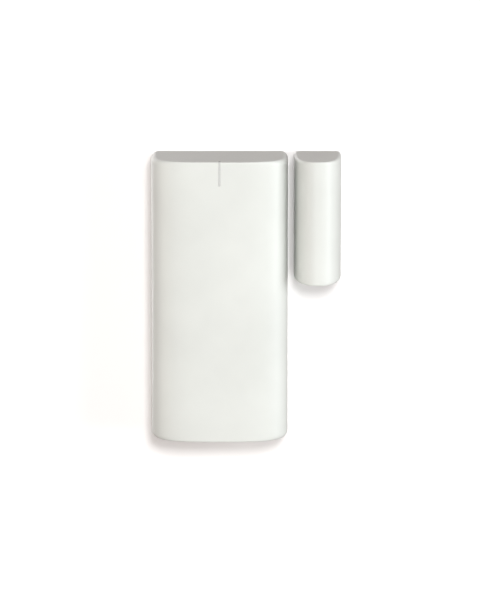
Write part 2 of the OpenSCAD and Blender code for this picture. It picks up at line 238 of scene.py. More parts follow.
class Board:
    """A node tree, with one method that adds any node."""

    def __init__(self, tree):
        self.tree = tree
        tree.nodes.clear()

    def add(self, kind, settings=None, sockets=None, out=0):
        """Adds a node, sets it up, wires or fills its sockets and returns one of its outputs."""
        node = self.tree.nodes.new(kind)
        for name, value in (settings or {}).items():
            setattr(node, name, value)
        for key, value in (sockets or {}).items():
            if isinstance(value, Wire):
                self.tree.links.new(value.socket, node.inputs[key])
            else:
                node.inputs[key].default_value = value
        return Wire(self, node.outputs[out]) if node.outputs else None

    def mix(self, factor, first, second, blend="MIX"):
        """Mixes two colours."""
        settings = {"data_type": "RGBA", "blend_type": blend}
        return self.add("ShaderNodeMix", settings, {0: factor, 6: first, 7: second}, out=2)

    def noise(self, place, scale, detail=2.0, roughness=0.5):
        """Noise at a place, as a value."""
        return self.add("ShaderNodeTexNoise", None,
                        {"Vector": place, "Scale": scale, "Detail": detail, "Roughness": roughness})

    def cells(self, place, scale, feature="F1", metric="EUCLIDEAN"):
        """A Voronoi texture's first output at a place."""
        settings = {"feature": feature, "distance": metric}
        return self.add("ShaderNodeTexVoronoi", settings, {"Vector": place, "Scale": scale})

    def stretch(self, place, scale):
        """The same place, scaled by a different amount along each axis."""
        return self.add("ShaderNodeMapping", None, {"Vector": place, "Scale": scale})

    def bump(self, height, distance, strength=1.0):
        """A normal tilted by a height."""
        return self.add("ShaderNodeBump", None,
                        {"Height": height, "Distance": distance, "Strength": strength})


def opaque(shade, factor=1.0):
    """A colour with its alpha, lightened or darkened by a factor."""
    return (*(min(1.0, c * factor) for c in tuple(shade)[:3]), 1.0)


# ---------------------------------------------------------------- materials

def start_material(name):
    """A new material's board and its object coordinates."""
    material = bpy.data.materials.new(name)
    material.use_nodes = True
    board = Board(material.node_tree)
    return material, board, board.add("ShaderNodeTexCoord", out="Object")


def finish_material(material, board, sockets):
    """Ends a material in a Principled shader with these sockets."""
    shader = board.add("ShaderNodeBsdfPrincipled", None, sockets)
    board.add("ShaderNodeOutputMaterial", None, {"Surface": shader})
    return material


def moulded_plastic(name, shade, roughness=0.4, grain=0.008, spread=0.05, coat=0.0):
    """Injection moulded plastic: cloudy pigment, fine spark texture and small specks."""
    material, board, place = start_material(name)
    cloud = board.noise(place, 45.0, 3.0)
    specks = board.noise(place, 2600.0, 1.0).ramp(0.70, 0.78)
    pigment = board.mix(cloud.ramp(0.3, 0.7), opaque(shade, 1 - spread), opaque(shade, 1 + spread / 2))
    pigment = board.mix(specks * 0.12, pigment, opaque(shade, 0.7))
    texture = board.noise(place, 5200.0, 2.0, 0.6) + board.noise(place, 700.0, 2.0) * 0.8
    return finish_material(material, board, {
        "Base Color": pigment,
        "Roughness": board.noise(place, 300.0, 3.0) * 0.14 + (roughness - 0.07),
        "Normal": board.bump(texture, grain * MM),
        "Specular IOR Level": 0.42,
        "Coat Weight": coat,
    })


def plated_metal(name, shade, roughness=0.28, streak=(900.0, 900.0, 90.0)):
    """Drawn and plated metal: streaks along one axis, a little tarnish."""
    material, board, place = start_material(name)
    drawn = board.noise(board.stretch(place, streak), 1.0, 3.0, 0.6)
    tarnish = board.noise(place, 260.0, 4.0, 0.65).ramp(0.45, 0.8)
    metal = board.mix(drawn, opaque(shade, 0.86), opaque(shade, 1.08))
    return finish_material(material, board, {
        "Base Color": board.mix(tarnish * 0.4, metal, opaque(shade, 0.6)),
        "Metallic": 1.0 - tarnish * 0.15,
        "Roughness": drawn * 0.16 + tarnish * 0.18 + (roughness - 0.1),
        "Normal": board.bump(drawn, 0.006 * MM),
    })


def clear_moulding(name, shade, clarity):
    """Clear acrylic with faint flow lines."""
    material, board, place = start_material(name)
    flow = board.noise(board.stretch(place, (900.0, 900.0, 120.0)), 1.0, 2.0)
    return finish_material(material, board, {
        "Base Color": board.mix(flow, opaque(shade, 0.93), opaque(shade)),
        "Roughness": flow * 0.1 + 0.12,
        "Normal": board.bump(flow, 0.01 * MM),
        "Transmission Weight": clarity,
        "IOR": 1.49,
    })


def sealed_glass(name):
    """Green-tinted switch glass, with the haze of its melted ends."""
    material, board, place = start_material(name)
    haze = board.noise(place, 500.0, 3.0)
    return finish_material(material, board, {
        "Base Color": board.mix(haze, (0.62, 0.86, 0.7, 1.0), (0.8, 0.95, 0.86, 1.0)),
        "Roughness": haze * 0.08 + 0.02,
        "Normal": board.bump(haze, 0.01 * MM),
        "Transmission Weight": 0.95,
        "IOR": 1.5,
    })


def solder_mask(name, shade):
    """Glossy solder mask over woven laminate, with cross-hatched ground copper showing through."""
    material, board, place = start_material(name)
    axes = board.add("ShaderNodeSeparateXYZ", None, {"Vector": place}, out="X")
    rise = axes.other("Z")
    hatch_pitch, weave_pitch = 0.9 * MM, 0.35 * MM
    diagonals = [abs(((axes + rise * slope) * (2 * math.pi / hatch_pitch)).sine()) for slope in (1, -1)]
    hatch = diagonals[0].at_least(diagonals[1]).ramp(0.93, 0.98)
    pour = board.cells(board.stretch(place, (1.0, 0.0, 1.0)), 95.0, metric="CHEBYCHEV").ramp(0.42, 0.46)
    threads = [abs((axis * (math.pi / weave_pitch)).sine()) for axis in (axes, rise)]
    weave = threads[0] * threads[1]
    copper = hatch * pour
    facing = board.add("ShaderNodeSeparateXYZ", None, {
        "Vector": board.add("ShaderNodeNewGeometry", out="Normal")}, out="Y")
    coated = board.mix(copper, opaque(shade), opaque(shade, 1.9))
    laminate = board.mix(weave, (0.32, 0.29, 0.15, 1.0), (0.46, 0.42, 0.25, 1.0))
    return finish_material(material, board, {
        "Base Color": board.mix(abs(facing).ramp(0.6, 0.8), laminate, coated),
        "Roughness": board.noise(place, 900.0, 2.0) * 0.12 + 0.24,
        "Normal": board.bump(copper * 0.7 + weave * 0.25, 0.015 * MM),
        "Coat Weight": 0.35,
        "Coat Roughness": 0.18,
    })


def moulded_epoxy(name):
    """Matt black chip epoxy with a fine sandy skin."""
    material, board, place = start_material(name)
    sand = board.noise(place, 6500.0, 2.0, 0.7)
    return finish_material(material, board, {
        "Base Color": board.mix(sand, (0.012, 0.012, 0.014, 1.0), (0.04, 0.04, 0.044, 1.0)),
        "Roughness": sand * 0.2 + 0.42,
        "Normal": board.bump(sand, 0.015 * MM),
    })


def banded_wrap(name, shade, low, high, top_up):
    """Film wrap of a cell: bare metal at the tip, a copper band and a plain coloured body."""
    material, board, place = start_material(name)
    height = board.add("ShaderNodeSeparateXYZ", None, {"Vector": place}, out="Z").ramp(low, high)
    along = height if top_up else 1.0 - height
    film = board.noise(board.stretch(place, (300.0, 300.0, 60.0)), 1.0, 3.0)
    body = board.mix(film, opaque(shade, 0.85), opaque(shade, 1.25))
    label = board.mix(along.over(0.72), body, (0.52, 0.27, 0.1, 1.0))
    edge = board.mix(along.over(0.70) - along.over(0.72), label, (0.75, 0.75, 0.72, 1.0))
    bare = along.over(0.975) + (1.0 - along).over(0.988)
    return finish_material(material, board, {
        "Base Color": board.mix(bare, edge, (0.72, 0.71, 0.68, 1.0)),
        "Metallic": bare.at_least(along.over(0.72) * 0.7),
        "Roughness": film * 0.1 + 0.2,
        "Normal": board.bump(film, 0.02 * MM),
        "Coat Weight": 0.4,
    })


def fired_ceramic(name):
    """Chip bodies: brown ceramic between silvery end caps."""
    material, board, place = start_material(name)
    grit = board.noise(place, 5000.0, 2.0)
    return finish_material(material, board, {
        "Base Color": board.mix(grit, (0.26, 0.15, 0.07, 1.0), (0.42, 0.28, 0.15, 1.0)),
        "Roughness": grit * 0.2 + 0.35,
        "Normal": board.bump(grit, 0.01 * MM),
    })


def sintered_ferrite(name):
    """Dark grey magnet with a granular pressed skin and chalky wear."""
    material, board, place = start_material(name)
    grains = board.cells(place, 2600.0)
    wear = board.noise(place, 380.0, 4.0, 0.7).ramp(0.55, 0.8)
    body = board.mix(grains, (0.025, 0.025, 0.027, 1.0), (0.07, 0.07, 0.072, 1.0))
    return finish_material(material, board, {
        "Base Color": board.mix(wear * 0.5, body, (0.16, 0.155, 0.15, 1.0)),
        "Metallic": 0.25,
        "Roughness": wear * 0.2 + 0.48,
        "Normal": board.bump(grains, 0.04 * MM),
    })


def open_foam(name):
    """Grey foam with open cells, whose pores are painted near black as the shade inside them."""
    material, board, place = start_material(name)
    pores_and_painted_shade = board.cells(place, 2200.0).ramp(0.1, 0.55)
    return finish_material(material, board, {
        # Painted shade: the pore mask darkens the colour inside the holes; the same mask also gives the
        # bump.
        "Base Color": board.mix(pores_and_painted_shade, (0.02, 0.02, 0.022, 1.0), (0.13, 0.13, 0.14, 1.0)),
        "Roughness": 0.92,
        "Normal": board.bump(pores_and_painted_shade, 0.12 * MM),
    })


def pale_stage(name, shade, glow, one_sided=False):
    """Plain pale surface with a faint glow. One-sided, it shows only where its normal points."""
    material, board, place = start_material(name)
    paper = board.noise(place, 40.0, 2.0)
    shader = board.add("ShaderNodeBsdfPrincipled", None, {
        "Base Color": board.mix(paper, opaque(shade, 0.995), opaque(shade)),
        "Emission Color": (1.0, 1.0, 1.0, 1.0), "Emission Strength": glow,
        "Roughness": 0.9, "Specular IOR Level": 0.0,
    })
    if one_sided:
        clear = board.add("ShaderNodeBsdfTransparent")
        behind = board.add("ShaderNodeNewGeometry", out="Backfacing")
        shader = board.add("ShaderNodeMixShader", None, {0: behind, 1: shader, 2: clear})
    board.add("ShaderNodeOutputMaterial", None, {"Surface": shader})
    return material


# ---------------------------------------------------------------- geometry trees

FLOAT, COUNT, PLACE = "NodeSocketFloat", "NodeSocketInt", "NodeSocketVector"
OBJECT, MATERIAL, SWITCH = "NodeSocketObject", "NodeSocketMaterial", "NodeSocketBool"


class Grower(Board):
    """A geometry tree with named inputs."""

    def __init__(self, name, **inputs):
        tree = bpy.data.node_groups.new(name, "GeometryNodeTree")
        tree.interface.new_socket(name="Geometry", in_out="INPUT", socket_type="NodeSocketGeometry")
        for label, kind in {**inputs, "Finish": MATERIAL}.items():
            tree.interface.new_socket(name=label, in_out="INPUT", socket_type=kind)
        tree.interface.new_socket(name="Geometry", in_out="OUTPUT", socket_type="NodeSocketGeometry")
        super().__init__(tree)
        self.start = self.add("NodeGroupInput", out="Geometry")

    def given(self, name):
        """One of the tree's own inputs."""
        return self.start.other(name)

    def deliver(self, geometry):
        """Realizes the geometry, gives it its finish and ends the tree."""
        solid = self.add("GeometryNodeRealizeInstances", None, {"Geometry": geometry})
        smooth = self.add("GeometryNodeSetShadeSmooth", None, {"Geometry": solid})
        painted = self.add("GeometryNodeSetMaterial", None,
                           {"Geometry": smooth, "Material": self.given("Finish")})
        self.add("NodeGroupOutput", None, {"Geometry": painted})
        return self.tree


def domed_skin_tree():
    """One skin of a domed cover: superelliptic front, straight sides and flat ends, open at the back."""
    crown_share, straight_share, corner_share = 0.84, 0.16, 0.78
    board = Grower("Domed Skin", Width=FLOAT, Height=FLOAT, Depth=FLOAT, Back=FLOAT, Side=FLOAT,
                   Squareness=FLOAT, Corner=FLOAT, Rim=FLOAT, Centre=PLACE, Inside=SWITCH)
    given = board.given
    grid = board.add("GeometryNodeMeshGrid", None,
                     {"Size X": 2.0, "Size Y": 2.0, "Vertices X": 141, "Vertices Y": 91})
    spot = board.add("ShaderNodeSeparateXYZ", None, {0: board.add("GeometryNodeInputPosition")})
    across, along = spot, spot.other("Y")
    power = 2.0 / given("Squareness")
    reach, run = abs(across), abs(along)

    bow = reach.ramp(0.0, crown_share) * RIGHT_ANGLE
    down_side = reach.ramp(crown_share, 1.0)
    turn = run.ramp(straight_share, corner_share) * RIGHT_ANGLE
    on_end = run.ramp(corner_share, 1.0)

    straight = given("Height") / 2 - given("Corner")
    height = run.ramp(0.0, straight_share) * straight + given("Corner") * turn.sine()
    half = given("Width") / 2 - given("Corner") * (1.0 - turn.cosine())
    over = (height - (given("Height") / 2 - given("Rim"))).at_least(0.0)
    rim_square = given("Rim") * given("Rim") - over * over
    depth = given("Depth") - given("Rim") + rim_square.at_least(0.0) ** 0.5

    x_share = bow.sine() ** power
    front = given("Side") + (depth - given("Side")) * bow.cosine().at_least(0.0) ** power
    skin = front + (given("Back") - front) * down_side
    x_place = half * (x_share + (reach - x_share) * on_end)
    y_place = skin + (given("Back") - skin) * on_end
    shaped = board.add("ShaderNodeCombineXYZ", None,
                       {"X": across.sign() * x_place, "Y": y_place * -1.0, "Z": along.sign() * height})
    moved = board.add("ShaderNodeVectorMath", {"operation": "ADD"}, {0: shaped, 1: given("Centre")})
    skin_mesh = board.add("GeometryNodeSetPosition", None, {"Geometry": grid, "Position": moved})
    closed = board.add("GeometryNodeMergeByDistance", None,
                       {"Geometry": skin_mesh, "Distance": 0.002 * MM})
    facing = board.add("GeometryNodeFlipFaces", None,
                       {"Mesh": closed, "Selection": given("Inside")})
    return board.deliver(facing)


def coil_tree():
    """A wire coil: turns that climb between two radii."""
    board = Grower("Wire Coil", Turns=FLOAT, Low=FLOAT, High=FLOAT, Length=FLOAT, Wire=FLOAT,
                   Place=PLACE, Turned=PLACE)
    given = board.given
    path = board.add("GeometryNodeCurveSpiral", None, {
        "Resolution": 40, "Rotations": given("Turns"), "Start Radius": given("Low"),
        "End Radius": given("High"), "Height": given("Length")})
    section = board.add("GeometryNodeCurvePrimitiveCircle", None,
                        {"Resolution": 10, "Radius": given("Wire")})
    wire = board.add("GeometryNodeCurveToMesh", None,
                     {"Curve": path, "Profile Curve": section, "Fill Caps": True})
    placed = board.add("GeometryNodeTransform", None, {
        "Geometry": wire, "Translation": given("Place"), "Rotation": given("Turned")})
    return board.deliver(placed)


def repeat_tree():
    """A template piece on every point, each turned about its own axis by a seeded amount."""
    board = Grower("Repeat On Points", Template=OBJECT, Spread=FLOAT, Seed=COUNT)
    given = board.given
    template = board.add("GeometryNodeObjectInfo", None,
                         {"Object": given("Template")}, out="Geometry")
    angle = board.add("FunctionNodeRandomValue", {"data_type": "FLOAT"}, {
        2: given("Spread") * -1.0, 3: given("Spread"), "Seed": given("Seed")}, out=1)
    turned = board.add("ShaderNodeCombineXYZ", None, {"Y": angle})
    copies = board.add("GeometryNodeInstanceOnPoints", None, {
        "Points": board.start, "Instance": template, "Rotation": turned})
    return board.deliver(copies)


def strip_tree():
    """Flat metal strips that follow the edges of a wire drawing."""
    board = Grower("Metal Strips", Along=FLOAT, Across=FLOAT, Facing=PLACE)
    given = board.given
    path = board.add("GeometryNodeMeshToCurve", None, {"Mesh": board.start})
    upright = board.add("GeometryNodeSetCurveNormal", {"mode": "FREE"},
                        {"Curve": path, "Normal": given("Facing")})
    section = board.add("GeometryNodeCurvePrimitiveQuadrilateral", None,
                        {"Width": given("Along"), "Height": given("Across")})
    metal = board.add("GeometryNodeCurveToMesh", None,
                      {"Curve": upright, "Profile Curve": section, "Fill Caps": True})
    return board.deliver(metal)


def wire_tree():
    """Round wire with rounded bends that follows the edges of a wire drawing."""
    board = Grower("Round Wire", Radius=FLOAT, Bend=FLOAT)
    given = board.given
    path = board.add("GeometryNodeMeshToCurve", None, {"Mesh": board.start})
    bent = board.add("GeometryNodeFilletCurve", {"mode": "POLY"},
                     {"Curve": path, "Radius": given("Bend"), "Count": 5})
    section = board.add("GeometryNodeCurvePrimitiveCircle", None,
                        {"Resolution": 10, "Radius": given("Radius")})
    wire = board.add("GeometryNodeCurveToMesh", None,
                     {"Curve": bent, "Profile Curve": section, "Fill Caps": True})
    return board.deliver(wire)


# ---------------------------------------------------------------- making pieces

def new_piece(name, mesh):
    """Puts a mesh in the scene as a new object."""
    piece = bpy.data.objects.new(name, mesh)
    bpy.context.scene.collection.objects.link(piece)
    return piece


def settle(piece, sharp=math.radians(48)):
    """Turns a piece's evaluated shape into its plain mesh, with edges over an angle left sharp."""
    bpy.context.view_layer.update()
    evaluated = piece.evaluated_get(bpy.context.evaluated_depsgraph_get())
    plain = bpy.data.meshes.new_from_object(evaluated)
    piece.modifiers.clear()
    piece.data = plain
    if sharp is not None:
        plain.shade_smooth()
        plain.set_sharp_from_angle(angle=sharp)
    return piece


def grow(name, tree, values, points=(), edges=()):
    """Runs a geometry tree on some points and returns the result as a plain piece."""
    start = bpy.data.meshes.new(name)
    start.from_pydata([tuple(p) for p in points], list(edges), [])
    piece = new_piece(name, start)
    modifier = piece.modifiers.new("Grow", "NODES")
    modifier.node_group = tree
    for socket in tree.interface.items_tree:
        if socket.in_out == "INPUT" and socket.name in values:
            modifier[socket.identifier] = values[socket.name]
    return settle(piece)


def mesh_from(name, shape):
    """A mesh from a bmesh, which is freed."""
    bmesh.ops.recalc_face_normals(shape, faces=shape.faces)
    mesh = bpy.data.meshes.new(name)
    shape.to_mesh(mesh)
    shape.free()
    return mesh


def soften_edges(piece, width, segments=2, angle=math.radians(32)):
    """Rounds a piece's sharp edges."""
    bevel = piece.modifiers.new("Edges", "BEVEL")
    bevel.width = width
    bevel.segments = segments
    bevel.limit_method = "ANGLE"
    bevel.angle_limit = angle
    bevel.use_clamp_overlap = True
    return even_faces(settle(piece))


def even_faces(piece):
    """Keeps a piece's flat faces evenly shaded right up to their rounded edges."""
    piece.modifiers.new("Flat Faces", "WEIGHTED_NORMAL").keep_sharp = True
    return settle(piece, None)


def softened(name, nodes, width, material, segments=2):
    """A copy of CAD nodes with merged corners and rounded edges, which stands for them."""
    shape = bmesh.new()
    for node in nodes:
        shape.from_mesh(frame["nodes"][node].data)
    bmesh.ops.remove_doubles(shape, verts=shape.verts, dist=0.001 * MM)
    bmesh.ops.dissolve_limit(shape, angle_limit=math.radians(0.5), verts=shape.verts, edges=shape.edges)
    mesh = bpy.data.meshes.new(name)
    shape.to_mesh(mesh)
    shape.free()
    piece = soften_edges(new_piece(name, mesh), width, segments)
    return stand_for(piece, nodes, material)


def stand_for(piece, nodes, material):
    """Gives a piece its material and its body, and hides the nodes it replaces."""
    piece.data.materials.clear()
    piece.data.materials.append(material)
    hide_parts(*nodes)
    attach(piece, frame["nodes"][nodes[0]]["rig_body"])
    return piece


def add_to(piece, node, material):
    """Gives an extra piece its material, and the body of the node it belongs to."""
    piece.data.materials.clear()
    piece.data.materials.append(material)
    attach(piece, frame["nodes"][node]["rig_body"])
    return piece


def outward(x, z, y):
    """Placement of a shape whose own z axis points out of the wall."""
    turn = Matrix(((1, 0, 0), (0, 0, -1), (0, 1, 0))).to_4x4()
    return Matrix.Translation((x, y, z)) @ turn


def turned(name, profile, place, segments=32):
    """A lathe-turned mesh: (radius, height) pairs spun round z, then placed."""
    shape = bmesh.new()
    rings = []
    for radius, height in profile:
        if radius < 1e-7:
            rings.append([shape.verts.new((0, 0, height))])
            continue
        angles = [2 * math.pi * i / segments for i in range(segments)]
        rings.append([shape.verts.new((radius * math.cos(a), radius * math.sin(a), height)) for a in angles])
    for low, high in zip(rings, rings[1:]):
        for i in range(segments):
            corners = [low[i % len(low)], low[(i + 1) % len(low)],
                       high[(i + 1) % len(high)], high[i % len(high)]]
            shape.faces.new(list(dict.fromkeys(corners)))
    bmesh.ops.transform(shape, matrix=place, verts=shape.verts)
    return mesh_from(name, shape)


def arc(radius, height, size, start, end, steps=5):
    """(radius, height) points along an arc about (radius, height), angles in degrees."""
    angles = [math.radians(start + (end - start) * i / steps) for i in range(steps + 1)]
    return [(radius + size * math.cos(a), height + size * math.sin(a)) for a in angles]


def slab(name, low, high):
    """A box mesh between two corners."""
    shape = bmesh.new()
    bmesh.ops.create_cube(shape, size=1.0)
    sides = [b - a for a, b in zip(low, high)]
    middle = [(a + b) / 2 for a, b in zip(low, high)]
    bmesh.ops.transform(shape, verts=shape.verts,
                        matrix=Matrix.Translation(middle) @ Matrix.Diagonal((*sides, 1.0)))
    return mesh_from(name, shape)


def cut(piece, cutter_mesh):
    """Cuts a mesh out of a piece."""
    cutter = new_piece("cutter", cutter_mesh)
    boolean = piece.modifiers.new("Cut", "BOOLEAN")
    boolean.operation = "DIFFERENCE"
    boolean.solver = "EXACT"
    boolean.object = cutter
    settle(piece)
    bpy.data.objects.remove(cutter)
    return piece


# ---------------------------------------------------------------- covers

def domed_cover(name, node, side, corner, squareness):
    """A domed shell: an outer and an inner skin, joined round the open back."""
    sizes = bpy.context.scene.contact_housing
    low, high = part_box(node)
    box = high - low
    tree = domed_skin_tree()
    shape = bmesh.new()
    for inset, rim in ((0.0, sizes.rim_radius), (sizes.wall, 0.3 * sizes.rim_radius)):
        skin = grow(name, tree, {
            "Width": box.x - 2 * inset, "Height": box.z - 2 * inset, "Depth": -low.y - inset,
            "Back": -high.y, "Side": side, "Squareness": squareness,
            "Corner": max(corner - inset, 0.9 * MM), "Rim": rim,
            "Centre": ((low.x + high.x) / 2, 0.0, (low.z + high.z) / 2), "Inside": inset > 0,
        })
        shape.from_mesh(skin.data)
        bpy.data.objects.remove(skin)
    open_edges = [edge for edge in shape.edges if edge.is_boundary]
    bmesh.ops.bridge_loops(shape, edges=open_edges)
    mesh = bpy.data.meshes.new(name)
    shape.to_mesh(mesh)
    shape.free()
    piece = new_piece(name, mesh)
    return settle(piece, math.radians(40))


def solids_of(node):
    """Lowest and highest corners of each separate solid in a CAD node."""
    shape = bmesh.new()
    shape.from_mesh(frame["nodes"][node].data)
    bmesh.ops.remove_doubles(shape, verts=shape.verts, dist=0.001 * MM)
    boxes, seen = [], set()
    for start in shape.verts:
        if start in seen:
            continue
        group, queue = [], [start]
        seen.add(start)
        while queue:
            vertex = queue.pop()
            group.append(vertex.co.copy())
            for edge in vertex.link_edges:
                near = edge.other_vert(vertex)
                if near not in seen:
                    seen.add(near)
                    queue.append(near)
        boxes.append(tuple(Vector(pick(c[i] for c in group) for i in range(3)) for pick in (min, max)))
    shape.free()
    return sorted(boxes, key=lambda b: (round(b[0].x, 5), round(b[0].z, 5)))


def cross_recess_screw(name, head, height, reach):
    """Pan head screw with a cross recess, its head's underside at the origin and its axis along -y."""
    rim = 0.3 * height
    profile = [(0, -reach), (0.28 * head, -reach), (0.28 * head, 0), (head, 0), (head, height - 2 * rim)]
    profile += arc(head - 2 * rim, height - 2 * rim, 2 * rim, 10, 90, 6) + [(0, height)]
    screw = new_piece(name, turned(name, profile, outward(0, 0, 0), 28))
    width, deep = 0.17 * head, 0.55 * height
    for along_x in (True, False):
        arms = (0.62 * head, width) if along_x else (width, 0.62 * head)
        cut(screw, slab(name, (-arms[0], -height - MM, -arms[1]), (arms[0], -height + deep, arms[1])))
    return screw


def copies(name, template, spots, material, spread=0.0, seed=0):
    """One piece with a copy of a template on every spot; the template is used up."""
    piece = grow(name, repeat_tree(), {
        "Template": template, "Spread": spread, "Seed": seed, "Finish": material}, spots)
    bpy.data.objects.remove(template)
    return piece


def drawing(paths):
    """The points and edges of a wire drawing made of several paths."""
    points = [point for path in paths for point in path]
    edges, first = [], 0
    for path in paths:
        edges += [(i, i + 1) for i in range(first, first + len(path) - 1)]
        first += len(path)
    return points, edges


def strips(name, paths, along, across, facing, material):
    """Metal strips along several paths of points, joined as one piece."""
    sizes = {"Along": along, "Across": across, "Facing": facing, "Finish": material}
    return grow(name, strip_tree(), sizes, *drawing(paths))


def wires(name, paths, radius, bend, material):
    """Round wires along several paths of points, joined as one piece."""
    sizes = {"Radius": radius, "Bend": bend, "Finish": material}
    return grow(name, wire_tree(), sizes, *drawing(paths))


def block(name, low, high, width, segments=2):
    """A box with rounded edges, as a piece."""
    return soften_edges(new_piece(name, slab(name, low, high)), width, segments)


def merge(name, pieces):
    """Joins pieces into one new piece."""
    shape = bmesh.new()
    for piece in pieces:
        shape.from_mesh(piece.data)
        bpy.data.objects.remove(piece)
    mesh = bpy.data.meshes.new(name)
    shape.to_mesh(mesh)
    shape.free()
    return settle(new_piece(name, mesh))


def board_front():
    """The y of the circuit board's front face."""
    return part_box("circuit_board")[0].y


def on_laminate(points):
    """Those of the points, given as x and z, that have the circuit board all round them."""
    mesh = bmesh.new()
    mesh.from_mesh(frame["nodes"]["circuit_board"].data)
    laminate = BVHTree.FromBMesh(mesh)
    mesh.free()
    inset, front = 0.7 * MM, board_front() - MM
    corners = [(a * inset, b * inset) for a in (-1, 1) for b in (-1, 1)]
    return [(x, z) for x, z in points if all(
        laminate.ray_cast(Vector((x + a, front, z + b)), Vector((0, 1, 0)), 2 * MM)[0] for a, b in corners)]


def gull_legs(name, roots, reach, lift, width, node, material):
    """Gull-wing legs; each root is (x, z, outward x, outward z) where the leg leaves its package."""
    front, thick = board_front(), 0.16 * MM
    made = []
    for sideways in (True, False):
        paths = []
        for x, z, out_x, out_z in roots:
            if (out_x != 0) != sideways:
                continue
            steps = ((0.0, lift), (0.3 * reach, lift), (0.5 * reach, thick / 2), (reach, thick / 2))
            paths.append([(x + out_x * run, front - rise, z + out_z * run) for run, rise in steps])
        if paths:
            facing = (0, 0, 1) if sideways else (1, 0, 0)
            made.append(strips(name + "_side", paths, width, thick, facing, material))
    return add_to(merge(name, made), node, material)


def solder_joints(name, spots, radius, height, node, material):
    """Small solder cones on the board's front face."""
    front = board_front()
    profile = [(0, -0.02 * MM), (radius, -0.02 * MM), (0.75 * radius, 0.25 * height),
               (0.5 * radius, 0.6 * height), (0.3 * radius, height), (0, height)]
    template = new_piece(name + "_template", turned(name, profile, outward(0, 0, 0), 16))
    piece = copies(name, template, [(x, front, z) for x, z in spots], material)
    return add_to(piece, node, material)


# ---------------------------------------------------------------- operators

class PieceOperator:
    """What the operators that make pieces share: each undoes as one step."""

    bl_options = {"REGISTER", "UNDO"}


class CONTACT_OT_covers(PieceOperator, bpy.types.Operator):
    """Make the two domed covers, with the light slit and the boss that presses the tamper switch"""

    bl_idname = "contact.covers"
    bl_label = "Covers"

    def execute(self, context):
        sizes, colours = context.scene.contact_housing, context.scene.contact_colours
        plastic = moulded_plastic("cover_moulding", colours.cover, roughness=0.42)
        sensor = domed_cover("sensor_cover_shell", "front_cover", sizes.sensor_side,
                             sizes.sensor_corner, sizes.sensor_squareness)
        low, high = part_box("front_cover")
        reach = sizes.slit_width / 2
        cut(sensor, slab("slit", (-reach, low.y - MM, high.z - sizes.slit_length),
                         (reach, low.y + sizes.wall + 0.6 * MM, high.z + MM)))
        stand_for(sensor, ["front_cover"], plastic)

        magnet = domed_cover("magnet_cover_shell", "magnet_cover", sizes.magnet_side,
                             sizes.magnet_corner, sizes.magnet_squareness)
        stand_for(magnet, ["magnet_cover"], plastic)

        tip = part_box("tamper_plunger")[0].y - 0.2 * MM
        spot = centre_of("tamper_plunger")
        wall_reach = tip - low.y - sizes.wall + 0.4 * MM
        outer, core, draft = 2 * MM, 0.9 * MM, 0.25 * MM
        boss = [(0, 1.2 * MM), (core, 1.2 * MM), (core, 0.1 * MM), (core + 0.1 * MM, 0),
                (outer - 0.2 * MM, 0), (outer, 0.2 * MM), (outer + draft, wall_reach), (0, wall_reach)]
        post = new_piece("cover_boss", turned("cover_boss", boss, outward(spot.x, spot.z, tip), 40))
        add_to(settle(post), "front_cover", plastic)
        return {"FINISHED"}


class CONTACT_OT_light_pipe(PieceOperator, bpy.types.Operator):
    """Make the clear light pipe that fills the slit"""

    bl_idname = "contact.light_pipe"
    bl_label = "Light Pipe"

    def execute(self, context):
        acrylic = clear_moulding("light_guide_acrylic", (0.72, 0.74, 0.73), 0.15)
        softened("slit_light_pipe", ["light_pipe"], 0.05 * MM, acrylic)
        resin = clear_moulding("led_resin", (0.75, 0.85, 0.7), 0.6)
        softened("status_light", ["status_led"], 0.05 * MM, resin)
        return {"FINISHED"}


class CONTACT_OT_plates(PieceOperator, bpy.types.Operator):
    """Make the back plate and the magnet base"""

    bl_idname = "contact.plates"
    bl_label = "Plates"

    def execute(self, context):
        sizes, colours = context.scene.contact_housing, context.scene.contact_colours
        plastic = moulded_plastic("plate_moulding", colours.plate, roughness=0.48, grain=0.012)
        softened("wall_plate", ["back_plate"], sizes.edge, plastic)
        softened("magnet_base_plate", ["magnet_base"], sizes.edge, plastic)
        return {"FINISHED"}


